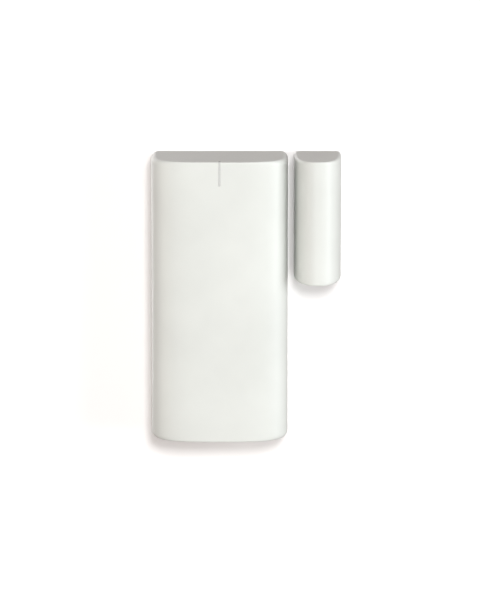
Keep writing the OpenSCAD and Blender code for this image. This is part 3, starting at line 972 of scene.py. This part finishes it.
class CONTACT_OT_boards(PieceOperator, bpy.types.Operator):
    """Make the two circuit boards, their tracks and the screws that hold the large one"""

    bl_idname = "contact.boards"
    bl_label = "Boards"

    def execute(self, context):
        colours = context.scene.contact_colours
        mask = solder_mask("solder_mask", colours.mask)
        softened("main_board", ["circuit_board"], 0.08 * MM, mask)
        softened("radio_daughter_board", ["radio_board"], 0.05 * MM, mask)
        self.screws()
        self.tracks(colours)
        tin = plated_metal("solder_tin", (0.7, 0.7, 0.68), 0.26)
        self.joints(tin)
        self.module_pads(tin)
        return {"FINISHED"}

    def screws(self):
        """Cross recess screws, each left at its own angle."""
        zinc = plated_metal("zinc_plate", (0.66, 0.67, 0.66), 0.3, (700.0, 700.0, 700.0))
        top, boxes = board_front(), solids_of("board_screws")
        low, high = boxes[0]
        spots = [((a.x + b.x) / 2, top, (a.z + b.z) / 2) for a, b in boxes]
        template = cross_recess_screw("screw_template", (high.x - low.x) / 2, top - low.y, high.y - top)
        piece = copies("board_fixing_screws", template, spots, zinc, math.pi, 4)
        stand_for(piece, ["board_screws"], zinc)

    def tracks(self, colours):
        """Mask-covered copper tracks: buses of lanes that each jog once at 45 degrees."""
        raised = solder_mask("mask_over_copper", [1.7 * c for c in colours.mask])
        chip, radio, coil = (centre_of(n) for n in ("microcontroller", "radio_board", "antenna_coil"))
        block_top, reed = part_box("terminal_block")[1], centre_of("reed_glass")
        learn, tamper = centre_of("learn_body"), centre_of("tamper_body")
        front, pitch = board_front() - 0.005 * MM, 0.8 * MM
        chip_edge, switch_edge, radio_edge = 4.6 * MM, 3.2 * MM, 6.4 * MM
        paths = []
        for i in range(6):
            lane = (i - 2.5) * pitch
            paths.append(self.jog((chip.x - chip_edge, chip.z + lane),
                                  (tamper.x + switch_edge, tamper.z - 1.6 * MM + lane)))
        for i in range(4):
            lane = i * pitch
            paths.append(self.jog((learn.x - switch_edge, learn.z - 1.0 * MM + lane),
                                  (radio.x + radio_edge, radio.z - 5.0 * MM + lane)))
            paths.append(self.jog((tamper.x - switch_edge, tamper.z - 1.0 * MM + lane),
                                  (radio.x + radio_edge, radio.z + 0.6 * MM + lane)))
            paths.append(self.jog((coil.x + 3.0 * MM + 0.7 * lane, chip.z - 13.0 * MM - lane),
                                  (coil.x + 2.4 * MM + 0.7 * lane, block_top.z + 1.0 * MM)))
        for i in range(3):
            paths.append(self.jog((chip.x + chip_edge, chip.z - 2.0 * MM + i * pitch),
                                  (reed.x - 2.0 * MM, reed.z + 1.0 * MM + i * pitch)))
        placed = [[(x, front, z) for x, z in path] for path in paths]
        copper = strips("covered_tracks", placed, 0.05 * MM, 0.32 * MM, (0, -1, 0), raised)
        add_to(copper, "circuit_board", raised)

    def module_pads(self, tin):
        """Rounded plated pads along the two sides of the radio board."""
        low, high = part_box("radio_board")
        half = Vector((0.33, 0.52, 0.52)) * MM
        template = block("pad_template", -half, half, 0.1 * MM)
        middle, reach = (low + high) / 2, (high.x - low.x) / 2 - 0.3 * MM
        pitch = 2.54 * MM
        spots = [(middle.x + side * reach, board_front() - 0.5 * MM, middle.z + i * pitch)
                 for side in (-1, 1) for i in range(-2, 3)]
        add_to(copies("module_pads", template, spots, tin), "radio_board", tin)

    def jog(self, start, end):
        """Points from start to end: straight, then one stretch at 45 degrees, then straight."""
        (x0, z0), (x1, z1) = start, end
        run, rise = x1 - x0, z1 - z0
        slant = min(abs(run), abs(rise))
        if abs(run) > abs(rise):
            straight = math.copysign((abs(run) - slant) / 2, run)
            bends = [(x0 + straight, z0), (x1 - straight, z1)]
        else:
            straight = math.copysign((abs(rise) - slant) / 2, rise)
            bends = [(x0, z0 + straight), (x1, z1 - straight)]
        path = [(x0, z0), *bends, (x1, z1)]
        return [p for i, p in enumerate(path) if i == 0 or (Vector(p) - Vector(path[i - 1])).length > 1e-6]

    def joints(self, tin):
        """Solder on every wire and tab that comes to the board, and bare vias between them."""
        coil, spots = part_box("antenna_coil"), []
        for node in ("reed_upper_lead", "reed_fixed_blade"):
            low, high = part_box(node)
            far = high.z - 0.28 * MM if node == "reed_upper_lead" else low.z + 0.28 * MM
            spots.append(((low.x + high.x) / 2, far))
        inset = 0.4 * MM
        spots += [(coil[1].x - inset, coil[0].z + inset), (coil[0].x + inset, coil[1].z - inset)]
        solder_joints("wire_joints", spots, 0.7 * MM, 0.6 * MM, "circuit_board", tin)
        tabs = []
        for node in ("positive_plate", "negative_plate"):
            tabs.append((centre_of(node).x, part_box(node)[1].z))
        self.tab_joints(tabs, tin)
        chip, vias = centre_of("microcontroller"), []
        for i in range(9):
            vias.append((chip.x + 8.2 * MM, chip.z + 4.6 * MM - 1.9 * MM * i - 22 * MM * (i > 4)))
        for i in range(5):
            vias.append((chip.x - 6.2 * MM + 2.4 * MM * i, chip.z + 11.2 * MM + 0.6 * MM * (i % 2)))
        vias = on_laminate(vias)
        ring = [(0.16 * MM, -0.02 * MM), (0.36 * MM, -0.02 * MM), (0.36 * MM, 0.03 * MM),
                (0.3 * MM, 0.045 * MM), (0.2 * MM, 0.03 * MM), (0.16 * MM, -0.02 * MM)]
        template = new_piece("via_template", turned("via", ring, outward(0, 0, 0), 12))
        piece = copies("via_rings", template, [(x, board_front(), z) for x, z in vias], tin)
        add_to(piece, "circuit_board", tin)


    def tab_joints(self, spots, tin):
        """A low mound of solder across the end of each soldered tab."""
        half = Vector((1.5, 0.3, 0.6)) * MM
        template = block("tab_template", -half, half, 0.28 * MM, 4)
        piece = copies("tab_joints", template, [(x, board_front(), z + 0.25 * MM) for x, z in spots], tin)
        add_to(piece, "circuit_board", tin)


class CONTACT_OT_reed_switch(PieceOperator, bpy.types.Operator):
    """Make the reed switch: glass, blades and leads"""

    bl_idname = "contact.reed_switch"
    bl_label = "Reed Switch"

    def execute(self, context):
        softened("reed_tube", ["reed_glass"], 0.04 * MM, sealed_glass("switch_glass"))
        nickel = plated_metal("nickel_iron", (0.72, 0.7, 0.66), 0.25)
        softened("reed_lower_blade", ["reed_fixed_blade"], 0.03 * MM, nickel)
        softened("reed_lead_wire", ["reed_upper_lead"], 0.03 * MM, nickel)
        softened("reed_upper_blade", ["reed_moving_blade"], 0.03 * MM, nickel)
        return {"FINISHED"}


class CONTACT_OT_switches(PieceOperator, bpy.types.Operator):
    """Make the tamper switch and the learn button"""

    bl_idname = "contact.switches"
    bl_label = "Switches"

    def execute(self, context):
        shell = moulded_plastic("switch_moulding", (0.03, 0.03, 0.033), 0.45, 0.01, 0.2)
        softened("tamper_switch_body", ["tamper_body"], 0.12 * MM, shell)
        self.learn_body(shell)
        tin = plated_metal("switch_tin", (0.7, 0.7, 0.68), 0.26)
        for name, node in (("tamper_legs", "tamper_body"), ("learn_legs", "learn_body")):
            middle, half = centre_of(node), 3.0 * MM
            roots = [(middle.x + side * half, middle.z + end * MM, side, 0)
                     for side in (-1, 1) for end in (2.2, -2.4)]
            gull_legs(name, roots, 1.1 * MM, 0.5 * MM, 0.7 * MM, node, tin)
        ivory = moulded_plastic("plunger_moulding", (0.78, 0.72, 0.58), 0.35, 0.006)
        softened("tamper_pin", ["tamper_plunger"], 0.25 * MM, ivory, 3)
        black = moulded_plastic("button_moulding", (0.02, 0.02, 0.022), 0.35, 0.006, 0.2)
        softened("learn_button", ["learn_cap"], 0.25 * MM, black, 3)
        steel = plated_metal("spring_wire", (0.6, 0.6, 0.58), 0.25)
        low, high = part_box("tamper_spring")
        wire, middle = 0.14 * MM, (low + high) / 2
        spring = grow("tamper_return_spring", coil_tree(), {
            "Turns": 3.5, "Low": (high.x - low.x) / 2 - wire, "High": (high.x - low.x) / 2 - wire,
            "Length": high.y - low.y - 2 * wire, "Wire": wire, "Finish": steel,
            "Place": (middle.x, high.y - wire, middle.z), "Turned": (RIGHT_ANGLE, 0, 0)})
        stand_for(spring, ["tamper_spring"], steel)
        return {"FINISHED"}

    def learn_body(self, shell):
        """Square button housing with four pegs. Its bore widens inside, where the cap's flange travels."""
        low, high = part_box("learn_body")
        middle, half = (low + high) / 2, 3.0 * MM
        body = block("learn_switch_body", (middle.x - half, low.y, middle.z - half),
                     (middle.x + half, high.y - 0.02 * MM, middle.z + half), 0.12 * MM)
        floor, ledge, above, opening, chamber = 0.6 * MM, 2.7 * MM, 5 * MM, 1.85 * MM, 2.4 * MM
        bore = [(0, floor), (chamber, floor), (chamber, ledge),
                (opening, ledge), (opening, above), (0, above)]
        cut(body, turned("bore", bore, outward(middle.x, middle.z, high.y), 40))
        even_faces(body)
        stand_for(body, ["learn_body"], shell)
        peg = [(0, -0.1 * MM), (0.4 * MM, -0.1 * MM), (0.4 * MM, 0.06 * MM), (0.3 * MM, 0.14 * MM),
               (0, 0.14 * MM)]
        template = new_piece("peg_template", turned("peg", peg, outward(0, 0, 0), 16))
        off = 2.35 * MM
        spots = [(middle.x + a * off, low.y, middle.z + b * off) for a in (-1, 1) for b in (-1, 1)]
        add_to(copies("learn_pegs", template, spots, shell), "learn_body", shell)


class CONTACT_OT_chips(PieceOperator, bpy.types.Operator):
    """Make the chips, the crystal, the capacitor and the small chip parts"""

    bl_idname = "contact.chips"
    bl_label = "Chips"

    def execute(self, context):
        epoxy = moulded_epoxy("chip_epoxy")
        tin = plated_metal("tin_plate", (0.7, 0.7, 0.68), 0.3)
        self.control_chip(epoxy, tin)
        self.regulator(epoxy, tin)
        softened("radio_transmitter_chip", ["radio_chip"], 0.05 * MM, epoxy)
        softened("crystal_can", ["crystal"], 0.15 * MM, tin, 3)
        self.shield(tin)
        sleeve = plated_metal("drawn_can", (0.62, 0.63, 0.66), 0.32)
        softened("storage_can", ["storage_capacitor"], 0.12 * MM, sleeve, 3)
        self.resistors(tin)
        return {"FINISHED"}

    def control_chip(self, epoxy, tin):
        """Square package with a dimple at pin one, and gull-wing legs on all four sides."""
        middle, low = centre_of("microcontroller"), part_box("microcontroller")[0]
        half, foot, pitch = 3.5 * MM, board_front() - 0.15 * MM, 0.8 * MM
        package = block("control_chip", (middle.x - half, low.y, middle.z - half),
                        (middle.x + half, foot, middle.z + half), 0.12 * MM)
        corner = outward(middle.x - half + 0.9 * MM, middle.z + half - 0.9 * MM, low.y - 0.1 * MM)
        cut(package, turned("dimple", [(0, -0.18 * MM), (0.4 * MM, -0.18 * MM), (0.4 * MM, 1 * MM),
                                       (0, 1 * MM)], corner, 20))
        even_faces(package)
        stand_for(package, ["microcontroller"], epoxy)
        steps = [(i - 3.5) * pitch for i in range(8)]
        roots = [(middle.x + side * half, middle.z + step, side, 0) for side in (-1, 1) for step in steps]
        roots += [(middle.x + step, middle.z + side * half, 0, side) for side in (-1, 1) for step in steps]
        gull_legs("control_chip_legs", roots, 1.0 * MM, 0.7 * MM, 0.36 * MM, "microcontroller", tin)

    def regulator(self, epoxy, tin):
        """Three-legged package with a solder tab."""
        low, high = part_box("regulator")
        middle, leg = (low + high) / 2, 0.9 * MM
        body = block("power_regulator", (low.x, low.y, low.z + leg),
                     (high.x, high.y - 0.02 * MM, high.z), 0.15 * MM)
        stand_for(body, ["regulator"], epoxy)
        roots = [(middle.x + i * 1.5 * MM, low.z + leg, 0, -1) for i in (-1, 0, 1)]
        gull_legs("regulator_legs", roots, leg, 0.6 * MM, 0.5 * MM, "regulator", tin)

    def shield(self, tin):
        """Folded can with a row of vents along two sides of its face."""
        can = softened("radio_shield", ["shield_can"], 0.12 * MM, tin, 3)
        low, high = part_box("shield_can")
        middle, vent = (low + high) / 2, 0.45 * MM
        hole = [(0, -0.6 * MM), (vent, -0.6 * MM), (vent, MM), (0, MM)]
        template = new_piece("vent_template", turned("vent", hole, outward(0, 0, 0), 20))
        spots = [(middle.x + i * 1.6 * MM, low.y, middle.z + side * 3.8 * MM)
                 for side in (-1, 1) for i in range(-2, 3)]
        vents = copies("vents", template, spots, tin)
        cut(can, vents.data)
        bpy.data.objects.remove(vents)
        can.data.materials.clear()
        can.data.materials.append(tin)

    def resistors(self, tin):
        """Ceramic bodies with bright wrapped ends, on every place where the design has one."""
        boxes = solids_of("chip_parts")
        half = (boxes[0][1] - boxes[0][0]) / 2
        spots = [tuple((low + high) / 2) for low, high in boxes]
        cap = 0.42 * MM
        ceramic = fired_ceramic("chip_ceramic")
        body = block("chip_template", (cap - half.x, 0.03 * MM - half.y, 0.03 * MM - half.z),
                     (half.x - cap, half.y, half.z - 0.03 * MM), 0.04 * MM, 1)
        stand_for(copies("chip_bodies", body, spots, ceramic), ["chip_parts"], ceramic)
        ends = [block("cap_template", (side * half.x - (side > 0) * cap, -half.y, -half.z),
                      (side * half.x + (side < 0) * cap, half.y, half.z), 0.1 * MM) for side in (-1, 1)]
        caps = copies("chip_end_caps", merge("caps_template", ends), spots, tin)
        add_to(caps, "chip_parts", tin)


class CONTACT_OT_antenna(PieceOperator, bpy.types.Operator):
    """Wind the coil antenna"""

    bl_idname = "contact.antenna"
    bl_label = "Antenna"

    def execute(self, context):
        copper = plated_metal("enamelled_copper", (0.62, 0.27, 0.1), 0.25)
        low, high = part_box("antenna_coil")
        wire = 0.4 * MM
        radius = (high.x - low.x) / 2
        coil = grow("antenna_winding", coil_tree(), {
            "Turns": 12.5, "Low": radius - wire, "High": radius - wire, "Length": high.z - low.z - 2 * wire,
            "Wire": wire, "Finish": copper,
            "Place": ((low.x + high.x) / 2, low.y + radius, low.z + wire), "Turned": (0, 0, 0)})
        stand_for(coil, ["antenna_coil"], copper)
        axis, front = low.y + radius, board_front() - 0.02 * MM
        ends = [(high.x - wire, low.z + wire), (low.x + wire, high.z - wire)]
        leads = wires("antenna_leads", [[(x, axis, z), (x, front, z)] for x, z in ends], wire, 0.0, copper)
        add_to(leads, "antenna_coil", copper)
        return {"FINISHED"}


class CONTACT_OT_terminals(PieceOperator, bpy.types.Operator):
    """Make the terminal block, its clamps and screws, and the jumper"""

    bl_idname = "contact.terminals"
    bl_label = "Terminals"

    def execute(self, context):
        colours = context.scene.contact_colours
        green = moulded_plastic("terminal_moulding", colours.terminal, 0.4, 0.01, 0.12)
        block_piece = softened("wire_terminal", ["terminal_block"], 0.15 * MM, green)
        low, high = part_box("terminal_block")
        middle, half = (low.x + high.x) / 2, 0.15 * MM
        cut(block_piece, slab("groove", (middle - half, low.y - MM, low.z - MM),
                              (middle + half, low.y + 2 * half, high.z + MM)))
        even_faces(block_piece)
        block_piece.data.materials.clear()
        block_piece.data.materials.append(green)
        brass = plated_metal("clamp_brass", (0.66, 0.47, 0.2), 0.3)
        softened("wire_clamps", ["terminal_clamps"], 0.08 * MM, brass)
        zinc = plated_metal("terminal_zinc", (0.66, 0.67, 0.66), 0.28, (700.0, 700.0, 700.0))
        softened("clamp_screws", ["terminal_screws"], 0.1 * MM, zinc)
        gold = plated_metal("gold_flash", (0.8, 0.56, 0.2), 0.22)
        self.header(gold)
        blue = moulded_plastic("jumper_moulding", colours.jumper, 0.4, 0.008, 0.12)
        softened("jumper_link", ["jumper_cap"], 0.15 * MM, blue)
        return {"FINISHED"}

    def header(self, gold):
        """Three square pins with tapered tips in a black strip that is notched between them."""
        low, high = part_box("jumper_pins")
        middle, pitch, strip_h = (low + high) / 2, (high.x - low.x) / 3, 2.4 * MM
        half = 0.32 * MM
        tall = high.y - low.y
        profile = [(0, 0), (half, 0), (half, tall - 0.5 * MM), (0.5 * half, tall), (0, tall)]
        corner_reach = 1.41
        spin = (outward(0, 0, 0) @ Matrix.Rotation(RIGHT_ANGLE / 2, 4, "Z")
                @ Matrix.Diagonal((corner_reach, corner_reach, 1, 1)))
        template = new_piece("pin_template", turned("pin", profile, spin, 4))
        spots = [(middle.x + i * pitch, high.y, middle.z) for i in (-1, 0, 1)]
        stand_for(copies("header_pins", template, spots, gold), ["jumper_pins"], gold)
        black = moulded_plastic("header_moulding", (0.02, 0.02, 0.022), 0.42, 0.008, 0.2)
        strip = block("header_strip", (low.x, high.y - strip_h, low.z), (high.x, high.y, high.z), 0.1 * MM)
        for side in (-1, 1):
            for end in (-1, 1):
                spot = outward(middle.x + side * pitch / 2, middle.z + end * (high.z - middle.z), high.y)
                cut(strip, turned("notch", [(0, -MM), (0.45 * MM, -MM), (0.45 * MM, 4 * MM), (0, 4 * MM)],
                                  spot, 4))
        add_to(strip, "jumper_pins", black)


class CONTACT_OT_power(PieceOperator, bpy.types.Operator):
    """Make the battery tray, the cells, their springs and contact plates"""

    bl_idname = "contact.power"
    bl_label = "Power"

    def execute(self, context):
        colours = context.scene.contact_colours
        tray = moulded_plastic("tray_moulding", colours.tray, 0.5, 0.02, 0.2)
        softened("cell_tray", ["battery_tray"], 0.15 * MM, tray)
        self.polarity_marks(tray)
        for name, node, tip_up in (("left_cell", "cell_left", True), ("right_cell", "cell_right", False)):
            low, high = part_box(node)
            wrap = banded_wrap(name + "_wrap", colours.wrap, low.z, high.z, tip_up)
            softened(name, [node], 0.1 * MM, wrap)
        nickel = plated_metal("contact_nickel", (0.72, 0.71, 0.68), 0.24)
        softened("tip_contact", ["positive_plate"], 0.06 * MM, nickel)
        softened("spring_contact", ["negative_plate"], 0.06 * MM, nickel)
        softened("series_link", ["link_plate"], 0.06 * MM, nickel)
        steel = plated_metal("battery_spring_wire", (0.62, 0.62, 0.6), 0.24)
        self.springs(steel)
        return {"FINISHED"}

    def polarity_marks(self, tray):
        """Raised plus and minus bars on the tray's end walls, beside the tips and the flat ends."""
        low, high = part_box("battery_tray")
        bar, width, rise, edge = 1.7 * MM, 0.4 * MM, 0.2 * MM, 0.6 * MM
        marks = []
        for node, plus_at_top in (("cell_left", True), ("cell_right", False)):
            x = centre_of(node).x + 3.4 * MM
            for z, plus in ((high.z - edge, plus_at_top), (low.z + edge, not plus_at_top)):
                arms = [(bar, width)] + [(width, 0.62 * 2 * edge)] * plus
                for wide, tall in arms:
                    marks.append(block("mark", (x - wide / 2, low.y - rise, z - tall / 2),
                                       (x + wide / 2, low.y + rise, z + tall / 2), 0.05 * MM, 1))
        add_to(merge("polarity_marks", marks), "battery_tray", tray)

    def springs(self, steel):
        """Both tapered springs, joined into the one piece that stands for their node."""
        wire, shape = 0.3 * MM, bmesh.new()
        for low, high in solids_of("battery_springs"):
            middle, wide = (low + high) / 2, (high.x - low.x) / 2
            at_foot = middle.z < centre_of("battery_tray").z
            spring = grow("spring_turns", coil_tree(), {
                "Turns": 3.0, "Low": wide - wire, "High": 0.6 * wide, "Length": high.z - low.z - 2 * wire,
                "Wire": wire, "Finish": steel,
                "Place": (middle.x, middle.y, low.z + wire if at_foot else high.z - wire),
                "Turned": (0, 0, 0) if at_foot else (2 * RIGHT_ANGLE, 0, 0)})
            shape.from_mesh(spring.data)
            bpy.data.objects.remove(spring)
        mesh = bpy.data.meshes.new("cell_springs")
        shape.to_mesh(mesh)
        shape.free()
        stand_for(settle(new_piece("cell_springs", mesh)), ["battery_springs"], steel)


class CONTACT_OT_magnet(PieceOperator, bpy.types.Operator):
    """Make the bar magnet and its foam strip"""

    bl_idname = "contact.magnet"
    bl_label = "Magnet"

    def execute(self, context):
        softened("ferrite_bar", ["bar_magnet"], 0.2 * MM, sintered_ferrite("magnet_ferrite"))
        softened("magnet_foam", ["foam_strip"], 0.3 * MM, open_foam("grey_foam"), 3)
        return {"FINISHED"}


class CONTACT_OT_studio(bpy.types.Operator):
    """Set up the pale floor, the backdrop, the lights and the camera"""

    bl_idname = "contact.studio"
    bl_label = "Studio"
    bl_options = {"REGISTER", "UNDO"}

    def execute(self, context):
        studio = context.scene.contact_studio
        colours = context.scene.contact_colours
        self.surroundings(colours)
        self.lights(studio)
        self.camera(context.scene, studio)
        return {"FINISHED"}

    def surroundings(self, colours):
        """A floor well below, a wall that shows only from the front, and a pale dome far around."""
        floor_z, wall_y, reach, span = CAD_LOW.z - 0.16, CAD_HIGH.y + 0.4 * MM, 2.0, 0.7
        self.sheet("studio_floor", pale_stage("floor_paper", colours.floor, 0.62),
                   [(-reach, -reach, floor_z), (reach, -reach, floor_z),
                    (reach, reach, floor_z), (-reach, reach, floor_z)])
        wall = self.sheet("studio_wall", pale_stage("wall_paper", colours.floor, 0.05, True),
                          [(-span, wall_y, -span), (span, wall_y, -span),
                           (span, wall_y, span), (-span, wall_y, span)])
        wall.visible_shadow = False
        dome = new_piece("studio_dome", turned(
            "studio_dome", arc(0, 0, 1.45 * reach, -90, 90, 24), Matrix.Identity(4), 48))
        dome.data.materials.append(pale_stage("dome_paper", colours.floor, 0.9))
        self.only_for_camera(dome)
        dome.visible_shadow = False

    def sheet(self, name, paper, corners):
        """A flat four-cornered stage piece."""
        mesh = bpy.data.meshes.new(name)
        mesh.from_pydata(corners, [], [(0, 1, 2, 3)])
        piece = new_piece(name, mesh)
        mesh.materials.append(paper)
        self.only_for_camera(piece)
        return piece

    def only_for_camera(self, piece):
        """Keeps a stage piece from lighting or tinting the object."""
        piece.visible_diffuse = False
        piece.visible_glossy = False
        piece.visible_transmission = False

    def lights(self, studio):
        """A front light from above, one on either side, a back light and an even world."""
        middle = (CAD_LOW + CAD_HIGH) / 2
        self.area("key_light", middle, (0.12, -1.1, 0.44), 0.24, studio.key_power)
        self.area("side_light", middle, (1.0, -0.45, 0.1), 0.5, studio.side_power, (0.97, 1.0, 1.0))
        self.area("fill_light", middle, (-0.9, -0.6, -0.05), 0.5, studio.fill_power, (1.0, 0.93, 0.82))
        self.area("back_light", middle, (-0.55, 1.0, 0.12), 0.9, studio.back_power)
        world = bpy.data.worlds.new("studio_world")
        world.use_nodes = True
        background = world.node_tree.nodes["Background"]
        background.inputs["Color"].default_value = (1.0, 0.89, 0.87, 1.0)
        background.inputs["Strength"].default_value = studio.world_strength
        bpy.context.scene.world = world

    def area(self, name, target, offset, size, power, shade=(1.0, 1.0, 1.0)):
        """A square area light that looks at a point."""
        data = bpy.data.lights.new(name, "AREA")
        data.size = size
        data.energy = power
        data.color = shade
        light = bpy.data.objects.new(name, data)
        bpy.context.scene.collection.objects.link(light)
        light.location = target + Vector(offset)
        light.rotation_euler = (-Vector(offset)).to_track_quat("-Z", "Y").to_euler()

    def camera(self, scene, studio):
        """A long lens in front of the pair, looking down a little."""
        data = bpy.data.cameras.new("camera")
        data.sensor_fit = "AUTO"
        data.sensor_width = 36.0
        data.lens = data.sensor_width * studio.distance / studio.view_height
        data.clip_start, data.clip_end = 0.05, 20.0
        data.dof.use_dof = False
        camera = bpy.data.objects.new("camera", data)
        scene.collection.objects.link(camera)
        aim = Vector(studio.aim)
        back = Vector((0.0, -math.cos(studio.elevation), math.sin(studio.elevation)))
        camera.location = aim + back * studio.distance
        camera.rotation_euler = (-back).to_track_quat("-Z", "Y").to_euler()
        scene.camera = camera
        scene.view_settings.view_transform = "Standard"


# ---------------------------------------------------------------- panel and main

OPERATORS = (
    CONTACT_OT_covers, CONTACT_OT_light_pipe, CONTACT_OT_plates, CONTACT_OT_boards,
    CONTACT_OT_reed_switch, CONTACT_OT_switches, CONTACT_OT_chips, CONTACT_OT_antenna,
    CONTACT_OT_terminals, CONTACT_OT_power, CONTACT_OT_magnet, CONTACT_OT_studio,
)
SETTINGS = {
    "contact_housing": HousingSizes,
    "contact_colours": FinishColours,
    "contact_studio": StudioSettings,
}


class CONTACT_PT_panel(bpy.types.Panel):
    """Sidebar panel with the sizes, the colours and one button for each group of pieces"""

    bl_idname = "CONTACT_PT_panel"
    bl_label = "Contact Sensor"
    bl_space_type = "VIEW_3D"
    bl_region_type = "UI"
    bl_category = "Contact Sensor"

    def draw(self, context):
        """Lists every setting, then a button for each operator."""
        layout = self.layout
        for name, group in SETTINGS.items():
            box = layout.box()
            box.label(text=group.__name__)
            for field in group.__annotations__:
                box.prop(getattr(context.scene, name), field)
        column = layout.column(align=True)
        for operator in OPERATORS:
            column.operator(operator.bl_idname)


def register():
    """Registers the classes and adds the settings to the scene."""
    for group in (*SETTINGS.values(), *OPERATORS, CONTACT_PT_panel):
        bpy.utils.register_class(group)
    for name, group in SETTINGS.items():
        setattr(bpy.types.Scene, name, PointerProperty(type=group))


def unregister():
    """Removes what register added."""
    for name in SETTINGS:
        delattr(bpy.types.Scene, name)
    for group in reversed((*SETTINGS.values(), *OPERATORS, CONTACT_PT_panel)):
        bpy.utils.unregister_class(group)


def main():
    """Registers the add-on and makes every piece in order."""
    register()
    for operator in OPERATORS:
        group, name = operator.bl_idname.split(".")
        getattr(getattr(bpy.ops, group), name)()


if __name__ == "__main__":
    main()
